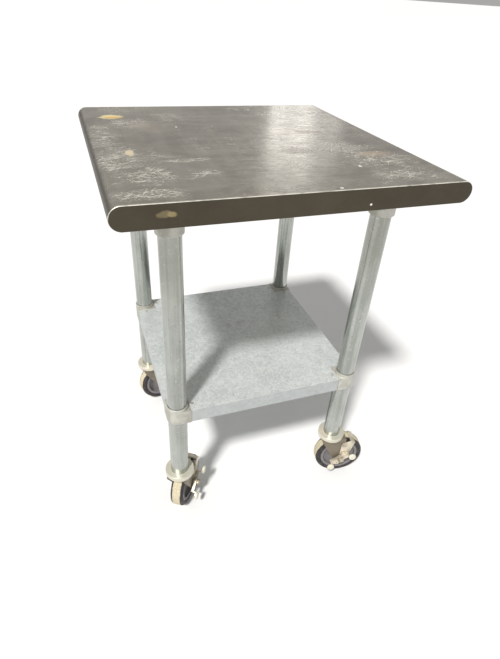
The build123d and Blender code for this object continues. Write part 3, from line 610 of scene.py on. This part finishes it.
# ------------------------------------------------------------------ geometry node trees
class Rig:
    """A geometry node tree with named inputs, which ends in Realize Instances and Set Material."""

    KINDS = {float: "NodeSocketFloat", int: "NodeSocketInt"}

    def __init__(self, name, sizes):
        self.group = bpy.data.node_groups.new(name, "GeometryNodeTree")
        self.group.interface.new_socket("Geometry", in_out="OUTPUT", socket_type="NodeSocketGeometry")
        self.identifiers = {}
        for key, value in sizes.items():
            socket = self.group.interface.new_socket(key, in_out="INPUT", socket_type=self.KINDS[type(value)])
            socket.default_value = value
            self.identifiers[key] = socket.identifier
        socket = self.group.interface.new_socket("Material", in_out="INPUT", socket_type="NodeSocketMaterial")
        self.identifiers["Material"] = socket.identifier
        self.inputs = self.group.nodes.new("NodeGroupInput")

    def size(self, name):
        return self.inputs.outputs[name]

    def node(self, kind, settings=None, sockets=None):
        node = self.group.nodes.new(kind)
        for key, value in (settings or {}).items():
            setattr(node, key, value)
        for key, value in (sockets or {}).items():
            if isinstance(value, bpy.types.NodeSocket):
                self.group.links.new(value, node.inputs[key])
            elif isinstance(value, bpy.types.Node):
                self.group.links.new(value.outputs[0], node.inputs[key])
            else:
                node.inputs[key].default_value = value
        return node

    def maths(self, operation, first, second):
        return self.node("ShaderNodeMath", {"operation": operation}, {0: first, 1: second})

    def finish(self, geometry):
        real = self.node("GeometryNodeRealizeInstances", {}, {"Geometry": geometry})
        shade = self.node("GeometryNodeSetShadeSmooth", {}, {"Geometry": real, "Shade Smooth": True})
        coat = self.node("GeometryNodeSetMaterial", {}, {"Geometry": shade, "Material": self.size("Material")})
        out = self.group.nodes.new("NodeGroupOutput")
        self.group.links.new(coat.outputs[0], out.inputs["Geometry"])
        return self


def grown(name, rig, material, places, **sizes):
    """One plain mesh from a rig: the rig's shape at each place."""
    seedling = new_piece(name, bpy.data.meshes.new(name))
    modifier = seedling.modifiers.new("rig", "NODES")
    modifier.node_group = rig.group
    for key, value in sizes.items():
        modifier[rig.identifiers[key]] = value
    modifier[rig.identifiers["Material"]] = material
    evaluated_mesh(seedling)
    unit = bmesh.new()
    unit.from_mesh(seedling.data)
    whole = bmesh.new()
    for place in places:
        copy = unit.copy()
        copy.transform(place)
        part = bpy.data.meshes.new("part")
        copy.to_mesh(part)
        whole.from_mesh(part)
        copy.free()
        bpy.data.meshes.remove(part)
    whole.to_mesh(seedling.data)
    unit.free()
    whole.free()
    smooth(seedling.data, 40.0)
    return seedling


def ball_ring_rig():
    """Bearing balls, evenly spaced round a circle."""
    rig = Rig("ball ring", {"Count": 14, "Ring Radius": 0.024, "Ball Radius": 0.003})
    circle = rig.node("GeometryNodeMeshCircle", {}, {
        "Vertices": rig.size("Count"), "Radius": rig.size("Ring Radius"),
    })
    ball = rig.node("GeometryNodeMeshUVSphere", {}, {
        "Segments": 20, "Rings": 12, "Radius": rig.size("Ball Radius"),
    })
    many = rig.node("GeometryNodeInstanceOnPoints", {}, {"Points": circle, "Instance": ball})
    return rig.finish(many)


def weld_bead_rig():
    """Weld bead round a circle: overlapping drops, as a welder's hand leaves them."""
    rig = Rig("weld bead", {"Drops": 48, "Ring Radius": 0.025, "Bead Radius": 0.0022})
    circle = rig.node("GeometryNodeMeshCircle", {}, {
        "Vertices": rig.size("Drops"), "Radius": rig.size("Ring Radius"),
    })
    drop = rig.node("GeometryNodeMeshUVSphere", {}, {
        "Segments": 10, "Rings": 6, "Radius": rig.size("Bead Radius"),
    })
    spread = rig.node("FunctionNodeRandomValue", {"data_type": "FLOAT"}, {2: 0.85, 3: 1.12, "Seed": 7})
    many = rig.node("GeometryNodeInstanceOnPoints", {}, {
        "Points": circle, "Instance": drop, "Scale": spread.outputs[1],
    })
    return rig.finish(many)


def flush_rivet_rig():
    """Rivet: a flat head let into the sheet, a shank, and a low chamfered head below."""
    rig = Rig("flush rivet", {
        "Shank Radius": 0.002, "Head Radius": 0.0037, "Head Height": 0.0012,
        "Foot Height": 0.0009, "Length": 0.0061,
    })
    bottom = rig.maths("MULTIPLY", rig.size("Length"), -0.5)
    top = rig.maths("SUBTRACT", rig.maths("MULTIPLY", rig.size("Length"), 0.5), rig.size("Head Height"))
    ledge = rig.maths("ADD", bottom, rig.size("Foot Height"))
    parts = rig.node("GeometryNodeJoinGeometry")
    small = rig.maths("MULTIPLY", rig.size("Head Radius"), 0.72)
    for low_radius, high_radius, start, height in (
        (rig.size("Head Radius"), rig.size("Head Radius"), top, rig.size("Head Height")),
        (rig.size("Shank Radius"), rig.size("Shank Radius"), ledge, rig.maths("SUBTRACT", top, ledge)),
        (small, rig.size("Head Radius"), bottom, rig.size("Foot Height")),
    ):
        solid = rig.node("GeometryNodeMeshCone", {}, {
            "Vertices": 24, "Radius Bottom": low_radius, "Radius Top": high_radius, "Depth": height,
        })
        lift = rig.node("ShaderNodeCombineXYZ", {}, {"Z": start})
        moved = rig.node("GeometryNodeTransform", {}, {"Geometry": solid, "Translation": lift})
        rig.group.links.new(moved.outputs[0], parts.inputs[0])
    return rig.finish(parts)


# ------------------------------------------------------------------ settings
def colour(name, default, description):
    return FloatVectorProperty(
        name=name, description=description, default=default, size=3, min=0.0, max=1.0, subtype="COLOR"
    )


def amount(name, default, description, high=1.0):
    return FloatProperty(name=name, description=description, default=default, min=0.0, max=high)


class WorktopSettings(bpy.types.PropertyGroup):
    light: colour("Light steel", (0.62, 0.58, 0.50), "Steel where it is wiped clean")
    dark: colour("Dark steel", (0.40, 0.36, 0.30), "Steel under old grease")
    # the edge colour is partly grime, partly painted shade on the faces that do not face up
    edge: colour("Edge", (0.042, 0.034, 0.022), "Grime on the folded edges")
    wear: amount("Wear", 1.0, "How strong the scratches and dry marks are", 2.0)
    roughness: amount("Roughness", 0.20, "Average roughness of the brushed face")


class TubeSettings(bpy.types.PropertyGroup):
    light: colour("Light zinc", (0.48, 0.50, 0.47), "Zinc on the tubes where it is bright")
    dark: colour("Dark zinc", (0.33, 0.345, 0.32), "Zinc on the tubes where it is dull")
    # colour of the painted shade on the upper tubes, beneath the worktop
    painted_upper_shade: colour("Upper tube", (0.24, 0.225, 0.175), "Browner zinc near the worktop")
    roughness: amount("Roughness", 0.20, "Average roughness of the tubes")


class SheetSettings(bpy.types.PropertyGroup):
    light: colour("Light spangle", (0.66, 0.69, 0.68), "Brightest crystals")
    dark: colour("Dark spangle", (0.50, 0.53, 0.53), "Darkest crystals")
    spangle: FloatProperty(
        name="Spangle", description="Crystals to a metre", default=150.0, min=10.0, max=400.0,
    )
    roughness: amount("Roughness", 0.46, "Average roughness of the sheet")


class CastingSettings(bpy.types.PropertyGroup):
    light: colour("Light casting", (0.56, 0.55, 0.50), "Bright casting skin")
    dark: colour("Dark casting", (0.38, 0.37, 0.32), "Dull casting skin")
    grime: colour("Grease", (0.22, 0.19, 0.13), "Grease in the pits")
    roughness: amount("Roughness", 0.48, "Average roughness of the castings")


class CasterSettings(bpy.types.PropertyGroup):
    race: colour("Race", (0.64, 0.62, 0.52), "Pressed race under the leg, rubbed bright")
    light: colour("Light plate", (0.74, 0.67, 0.54), "Brake plating where it is rubbed")
    dark: colour("Dark plate", (0.44, 0.39, 0.30), "Dull brake plating")
    fork: colour("Fork", (0.215, 0.185, 0.14), "Fork under its film of grease")
    # this colour goes on in cloudy patches and grows towards the bottom of the caster pieces
    grime: colour("Grease", (0.13, 0.10, 0.065), "Floor grease in the hollows")
    rubber: colour("Rubber", (0.040, 0.035, 0.037), "Tyre rubber")
    dust: colour("Dust", (0.66, 0.585, 0.42), "Floor dust on the tread")
    tread_steps: IntProperty(
        name="Steps", description="Sides of a wheel's circle", default=96, min=24, max=256,
    )


class StageSettings(bpy.types.PropertyGroup):
    floor: colour("Floor", (0.84, 0.84, 0.84), "Colour of the floor")
    sky: colour("Room", (0.62, 0.615, 0.60), "Colour of the room that the steel reflects")
    sky_strength: amount("Room strength", 0.64, "Brightness of the room", 5.0)
    sun: FloatProperty(name="Main light", description="Strength of the main soft light", default=3.5, min=0.0)
    softness: FloatProperty(
        name="Softness", description="Size of the main light", default=radians(6), subtype="ANGLE",
    )
    window: FloatProperty(
        name="Tall lights", description="Power of the tall lights, for each metre", default=2.9, unit="POWER",
    )
    yaw: FloatProperty(
        name="Camera yaw", default=radians(22.03), subtype="ANGLE", description="Turn from the Y axis",
    )
    pitch: FloatProperty(
        name="Camera pitch", default=radians(35.74), subtype="ANGLE", description="Angle downwards",
    )
    roll: FloatProperty(
        name="Camera roll", default=radians(4.12), subtype="ANGLE", description="Lean of the camera",
    )
    stand: FloatVectorProperty(
        name="Camera place", description="From the middle of the table's foot", subtype="TRANSLATION",
        default=(-0.3413, -0.9287, 1.0839), size=3,
    )
    lens: FloatProperty(name="Lens", description="Focal length in millimetres", default=26.0)


# ------------------------------------------------------------------ operators
class WORKTABLE_OT_worktop(bpy.types.Operator):
    """Finish the folded stainless worktop"""
    bl_idname = "worktable.worktop"
    bl_label = "Worktop"

    def execute(self, context):
        paint("worktop", worn_stainless("worn stainless", context.scene.worktable_worktop))
        return {"FINISHED"}


class WORKTABLE_OT_under_frame(bpy.types.Operator):
    """Finish the channels, studs, nuts and leg sockets under the worktop, and weld the sockets on"""
    bl_idname = "worktable.under_frame"
    bl_label = "Channels and sockets"

    def execute(self, context):
        sheet = galvanised_sheet("galvanised channel", context.scene.worktable_sheet)
        casting = cast_metal("socket metal", context.scene.worktable_casting)
        plating = context.scene.worktable_caster
        steel = plated_steel("plated fastenings", plating.light, plating.dark, plating.grime)
        for side in ("left", "right"):
            softened("hat_channel_" + side, sheet, 0.5 * MM)
        for corner in CORNERS:
            softened("leg_socket_" + corner, casting, 0.5 * MM)
        paint("channel_studs", steel)
        softened("channel_nuts", steel, 0.35 * MM)
        bead = weld_bead_rig()
        places = []
        for corner in CORNERS:
            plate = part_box("hat_channel_left")[0].z
            joint = JOINTS["swivel_" + corner]["pos_m"]
            places.append(Matrix.Translation((joint[0], joint[1], plate - 3.4 * MM)))
        welds = grown("socket_welds", bead, steel, places, **{"Ring Radius": 25.2 * MM, "Drops": 64})
        finished(welds, body_of("hat_channel_left"), steel)
        return {"FINISHED"}


class WORKTABLE_OT_legs(bpy.types.Operator):
    """Finish the four round legs and what holds the casters in them"""
    bl_idname = "worktable.legs"
    bl_label = "Legs"

    def execute(self, context):
        tube = galvanised_tube("galvanised tube", context.scene.worktable_tube)
        rubber = moulded_plastic("black rubber", (0.03, 0.03, 0.03), (0.08, 0.07, 0.06), 0.6)
        screws = bright_steel("screw steel")
        for corner in CORNERS:
            paint("leg_" + corner, tube)
        paint("expander_sleeves", rubber)
        softened("expander_nuts", screws, 0.4 * MM)
        softened("leg_set_screws", screws, 0.2 * MM)
        return {"FINISHED"}


class WORKTABLE_OT_undershelf(bpy.types.Operator):
    """Finish the undershelf, its cast corners and its rivets"""
    bl_idname = "worktable.undershelf"
    bl_label = "Undershelf"

    def execute(self, context):
        paint("undershelf", galvanised_sheet("galvanised shelf", context.scene.worktable_sheet))
        casting = cast_metal("corner casting", context.scene.worktable_casting)
        for corner in CORNERS:
            softened("shelf_corner_" + corner, casting, 0.9 * MM, segments=3)
        low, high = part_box("shelf_rivets")
        places = []
        for island in rivet_centres("shelf_rivets"):
            places.append(Matrix.Translation((island[0], island[1], (low.z + high.z) / 2)))
        rivets = grown("flush_rivets", flush_rivet_rig(), casting, places, Length=high.z - low.z)
        finished(rivets, body_of("shelf_rivets"), casting, ["shelf_rivets"])
        return {"FINISHED"}


def rivet_centres(node):
    """Middle of each separate solid in a group node."""
    shape = bmesh.new()
    shape.from_mesh(frame["nodes"][node].data)
    bmesh.ops.remove_doubles(shape, verts=shape.verts, dist=0.002 * MM)
    centres = []
    seen = set()
    for start in shape.verts:
        if start in seen:
            continue
        island, edge = [], [start]
        seen.add(start)
        while edge:
            vert = edge.pop()
            island.append(vert.co.copy())
            for link in vert.link_edges:
                other = link.other_vert(vert)
                if other not in seen:
                    seen.add(other)
                    edge.append(other)
        low = Vector([min(co[i] for co in island) for i in range(3)])
        high = Vector([max(co[i] for co in island) for i in range(3)])
        centres.append((low + high) / 2)
    shape.free()
    return centres


class WORKTABLE_OT_casters(bpy.types.Operator):
    """Finish the caster stems, bearing balls, forks, axle bolts and nuts"""
    bl_idname = "worktable.casters"
    bl_label = "Casters"

    def execute(self, context):
        sizes = context.scene.worktable_caster
        race = plated_steel("rubbed race", sizes.race, sizes.light, sizes.grime, 0.25)
        fork = plated_steel("greasy fork", sizes.fork, sizes.fork, sizes.grime, 0.6)
        plate = plated_steel("plated axle", sizes.light, sizes.dark, sizes.grime)
        steel = bright_steel("ball steel")
        for corner in CORNERS:
            softened("caster_stem_" + corner, race, 0.5 * MM)
            softened("caster_fork_" + corner, fork, 0.9 * MM, segments=3)
            softened("axle_bolt_" + corner, plate, 0.35 * MM)
            softened("axle_nut_" + corner, plate, 0.45 * MM)
        low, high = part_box("swivel_balls")
        ball = (high.z - low.z) / 2
        rings = []
        for corner in CORNERS:
            spot = JOINTS["swivel_" + corner]["pos_m"]
            rings.append(Matrix.Translation((spot[0], spot[1], (low.z + high.z) / 2)))
        balls = grown("bearing_balls", ball_ring_rig(), steel, rings, **{"Ball Radius": ball * 0.99})
        finished(balls, body_of("swivel_balls"), steel, ["swivel_balls"])
        return {"FINISHED"}


class WORKTABLE_OT_wheels(bpy.types.Operator):
    """Build the wheels: dusty rubber tyre, grey core and plain bush"""
    bl_idname = "worktable.wheels"
    bl_label = "Wheels"

    def execute(self, context):
        sizes = context.scene.worktable_caster
        rubber = tyre_rubber("tyre rubber", sizes)
        grey = moulded_plastic("grey core", (0.20, 0.19, 0.194), (0.10, 0.085, 0.07), 0.42)
        nylon = moulded_plastic("bush nylon", (0.62, 0.60, 0.52), (0.25, 0.2, 0.14))
        for corner in CORNERS:
            place = axle_frame(corner)
            tyre = revolved("tyre_" + corner, tyre_profile(), place, sizes.tread_steps)
            finished(tyre, "wheel_" + corner, rubber, ["wheel_tyre_" + corner])
            core = revolved("core_" + corner, core_profile(), place, sizes.tread_steps)
            finished(core, "wheel_" + corner, grey, ["wheel_core_" + corner])
            paint("axle_bush_" + corner, nylon)
        return {"FINISHED"}


def tyre_profile():
    """Half-round shoulders, a crowned tread with a moulding line, and a raised ring on each side."""
    outer, inner, half = 63.5, 50.5, 15.875
    side = [
        (inner, half - 1.6), (inner + 0.4, half - 1.2), (inner + 2.2, half - 1.2), (inner + 2.8, half - 0.5),
        (inner + 3.4, half - 0.1), (inner + 4.4, half),
    ]
    shoulder = arc((outer - 7.5, half - 7.5), 7.5, 90, 12, 8)
    tread = [(outer - 0.12, half - 8.2), (outer - 0.02, 3.0), (outer - 0.02, 0.5), (outer, 0.25)]
    right = side + shoulder + tread
    left = [(radius, -along) for radius, along in reversed(right)]
    return [(radius * MM, along * MM) for radius, along in right + left]


def core_profile():
    """Rim, thin web and long hub, with the corners run out in small curves."""
    rim_out, rim_in, half = 50.4, 43.0, 14.4
    hub, web, bore, hub_half = 12.5, 3.0, 8.0, 19.6
    right = [(bore, 0.0), (bore, hub_half - 0.5), (bore + 0.5, hub_half)]
    right += [(hub - 0.6, hub_half), (hub, hub_half - 0.6)]
    right += [(hub, web + 4.0)] + arc((hub + 3.0, web + 3.0), 3.0, 180, 270, 5)
    right += arc((rim_in - 4.0, web + 4.0), 4.0, 270, 360, 6)
    right += [(rim_in, half - 1.2)] + arc((rim_in + 1.2, half - 1.2), 1.2, 180, 90, 4)
    right += [(rim_out - 0.8, half), (rim_out, half - 0.8), (rim_out, 0.0)]
    left = [(radius, -along) for radius, along in reversed(right[1:-1])]
    return [(radius * MM, along * MM) for radius, along in right + left]


class WORKTABLE_OT_brakes(bpy.types.Operator):
    """Finish the front casters' brakes: rocker, foot pads, shoe and pivot"""
    bl_idname = "worktable.brakes"
    bl_label = "Brakes"

    def execute(self, context):
        sizes = context.scene.worktable_caster
        plate = plated_steel("plated brake", sizes.light, sizes.dark, sizes.grime, 0.4)
        cream = moulded_plastic("pad plastic", (0.74, 0.70, 0.58), (0.30, 0.24, 0.15), 0.5)
        for corner in BRAKED:
            softened("brake_rocker_" + corner, plate, 0.6 * MM)
            softened("brake_shoe_" + corner, plate, 0.4 * MM)
            softened("brake_pivot_" + corner, plate, 0.3 * MM)
            softened("brake_pads_" + corner, cream, 0.6 * MM)
        return {"FINISHED"}


def aimed_light(name, kind_size, power, place, target, tint=(1.0, 1.0, 1.0)):
    """Rectangular soft light that faces a point."""
    light = bpy.data.lights.new(name, "AREA")
    light.shape = "RECTANGLE"
    light.size, light.size_y = kind_size
    light.energy = power
    light.color = tint
    lamp = bpy.data.objects.new(name, light)
    lamp.location = place
    lamp.rotation_euler = (Vector(target) - Vector(place)).to_track_quat("-Z", "Y").to_euler()
    bpy.context.scene.collection.objects.link(lamp)
    return lamp


class WORKTABLE_OT_stage(bpy.types.Operator):
    """Lay the pale floor, light it softly and set the camera"""
    bl_idname = "worktable.stage"
    bl_label = "Stage"

    def execute(self, context):
        sizes = context.scene.worktable_stage
        span = 250.0
        mesh = bpy.data.meshes.new("floor")
        corners = [(-span, -span, 0), (span, -span, 0), (span, span, 0), (-span, span, 0)]
        mesh.from_pydata(corners, [], [(0, 1, 2, 3)])
        floor = new_piece("floor", mesh)
        mesh.materials.append(studio_floor("pale floor", sizes.floor))
        world = bpy.data.worlds.new("room")
        world.use_nodes = True
        back = world.node_tree.nodes["Background"]
        back.inputs["Color"].default_value = rgba(sizes.sky)
        back.inputs["Strength"].default_value = sizes.sky_strength
        context.scene.world = world
        sun = bpy.data.lights.new("sun", "SUN")
        sun.energy = sizes.sun
        sun.angle = sizes.softness
        sun.color = (1.0, 0.99, 0.97)
        lamp = bpy.data.objects.new("sun", sun)
        lamp.rotation_euler = Vector((-0.412, -0.452, 0.792)).to_track_quat("Z", "Y").to_euler()
        context.scene.collection.objects.link(lamp)
        for name, middle, width, share in (
            ("tall light 1", 1.335, 0.08, 1.15),
            ("tall light 2", 1.475, 0.20, 0.80),
            ("tall light 3", 1.625, 0.10, 1.10),
            ("tall light 4", 1.79, 0.23, 0.35),
            ("thin light", 1.94, 0.025, 0.90),
        ):
            spot = Vector((middle, 3.0, 1.60))
            aimed_light(name, (width, 0.54), sizes.window * width * share, spot, (0.0, 0.0, 0.8))
        camera = bpy.data.objects.new("camera", bpy.data.cameras.new("camera"))
        context.scene.collection.objects.link(camera)
        camera.data.sensor_width = 36.0
        camera.data.lens = sizes.lens
        camera.data.clip_end = 600.0
        low, high = CAD_BOX
        middle = Vector(((low[0] + high[0]) / 2, (low[1] + high[1]) / 2, low[2]))
        camera.location = middle + Vector(sizes.stand)
        level = cos(sizes.pitch)
        ahead = Vector((sin(sizes.yaw) * level, cos(sizes.yaw) * level, -sin(sizes.pitch)))
        right = ahead.cross(Vector((0, 0, 1))).normalized()
        up = right.cross(ahead)
        lean_right = right * cos(sizes.roll) + up * sin(sizes.roll)
        lean_up = up * cos(sizes.roll) - right * sin(sizes.roll)
        camera.rotation_euler = Matrix((lean_right, lean_up, -ahead)).transposed().to_euler()
        context.scene.camera = camera
        context.scene.view_settings.view_transform = "Standard"
        return {"FINISHED"}


class WORKTABLE_PT_panel(bpy.types.Panel):
    """Buttons that finish the table, one for each group of pieces"""
    bl_idname = "WORKTABLE_PT_panel"
    bl_label = "Work table"
    bl_space_type = "VIEW_3D"
    bl_region_type = "UI"
    bl_category = "Work table"

    def draw(self, context):
        for operator in OPERATORS:
            self.layout.operator(operator.bl_idname)


# ------------------------------------------------------------------ add-on
SETTINGS = {
    "worktable_worktop": WorktopSettings,
    "worktable_tube": TubeSettings,
    "worktable_sheet": SheetSettings,
    "worktable_casting": CastingSettings,
    "worktable_caster": CasterSettings,
    "worktable_stage": StageSettings,
}
OPERATORS = (
    WORKTABLE_OT_stage,
    WORKTABLE_OT_worktop,
    WORKTABLE_OT_under_frame,
    WORKTABLE_OT_legs,
    WORKTABLE_OT_undershelf,
    WORKTABLE_OT_casters,
    WORKTABLE_OT_wheels,
    WORKTABLE_OT_brakes,
)


def register():
    for group in SETTINGS.values():
        bpy.utils.register_class(group)
    for name, group in SETTINGS.items():
        setattr(bpy.types.Scene, name, PointerProperty(type=group))
    for operator in OPERATORS:
        bpy.utils.register_class(operator)
    bpy.utils.register_class(WORKTABLE_PT_panel)


def unregister():
    bpy.utils.unregister_class(WORKTABLE_PT_panel)
    for operator in reversed(OPERATORS):
        bpy.utils.unregister_class(operator)
    for name in SETTINGS:
        delattr(bpy.types.Scene, name)
    for group in reversed(list(SETTINGS.values())):
        bpy.utils.unregister_class(group)


def main():
    register()
    for operator in OPERATORS:
        family, name = operator.bl_idname.split(".")
        getattr(getattr(bpy.ops, family), name)()


if __name__ == "__main__":
    main()
